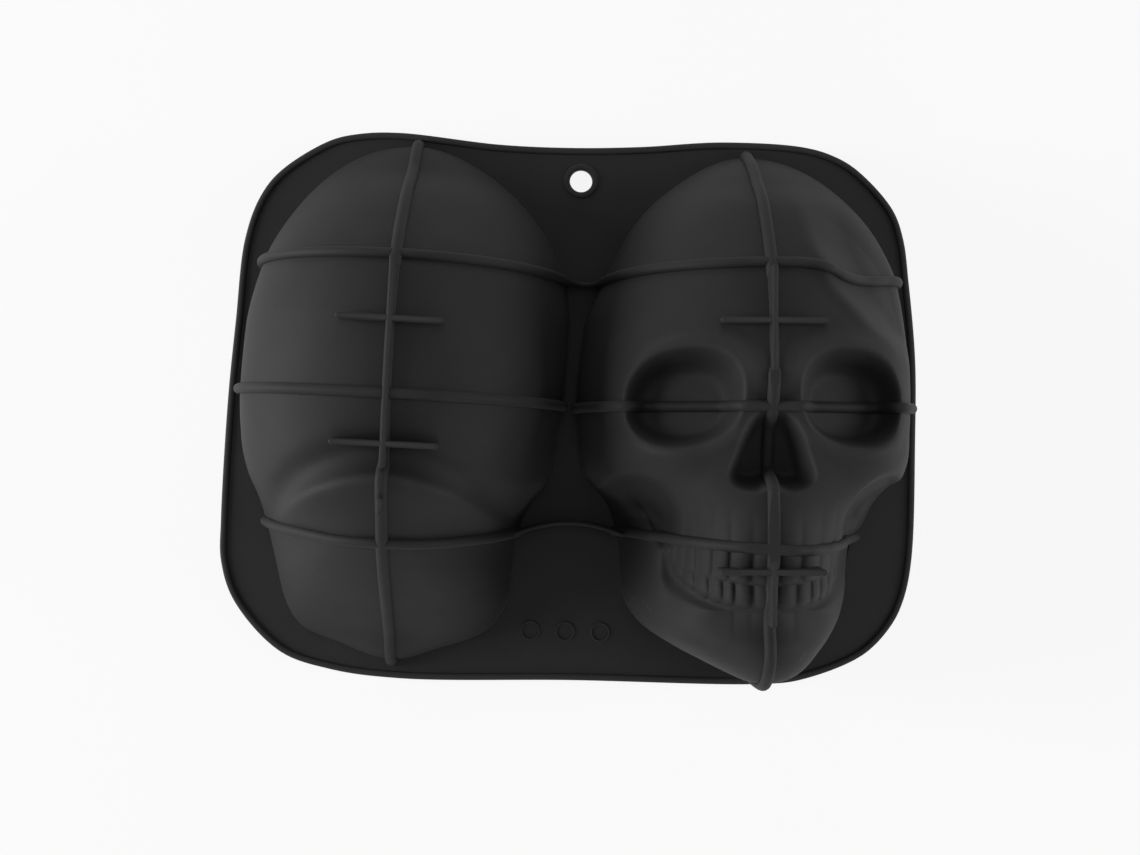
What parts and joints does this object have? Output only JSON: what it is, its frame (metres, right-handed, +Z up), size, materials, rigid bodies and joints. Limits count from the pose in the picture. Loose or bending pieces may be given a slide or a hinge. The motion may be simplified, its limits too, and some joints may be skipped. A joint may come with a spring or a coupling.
{
  "type": "silicone skull cake mould",
  "caption": "Flexible silicone baking mould with two deep hollow skull halves, back and face, on a shared flat sheet with raised ribs, crossbar feet and a hang hole.",
  "frame": {"origin": "on the surface under the sheet, below the middle of the sheet's outline", "axes": "+X from the back half to the face half, +Y to the crowns, +Z up from the sheet to the domes"},
  "size_m": [0.3208, 0.2532, 0.086],
  "materials": {
    "silicone": "satin"
  },
  "bodies": {
    "root": {"flange_plate": "silicone", "rim_bead": "silicone", "hang_collar": "silicone", "care_mark_left": "silicone", "care_mark_middle": "silicone", "care_mark_right": "silicone", "crown_web": "silicone", "jaw_web": "silicone", "back_cavity_shell": "silicone", "back_spine_rib": "silicone", "back_crown_rib_left": "silicone", "back_crown_rib_right": "silicone", "back_middle_rib_left": "silicone", "back_middle_rib_right": "silicone", "back_jaw_rib_left": "silicone", "back_jaw_rib_right": "silicone", "back_foot": "silicone", "back_foot_tail": "silicone", "face_cavity_shell": "silicone", "face_spine_rib": "silicone", "face_crown_rib_left": "silicone", "face_crown_rib_right": "silicone", "face_eye_rib_left": "silicone", "face_eye_rib_right": "silicone", "face_jaw_rib_left": "silicone", "face_jaw_rib_right": "silicone", "forehead_foot": "silicone", "mouth_foot": "silicone"}
  },
  "joints": []
}
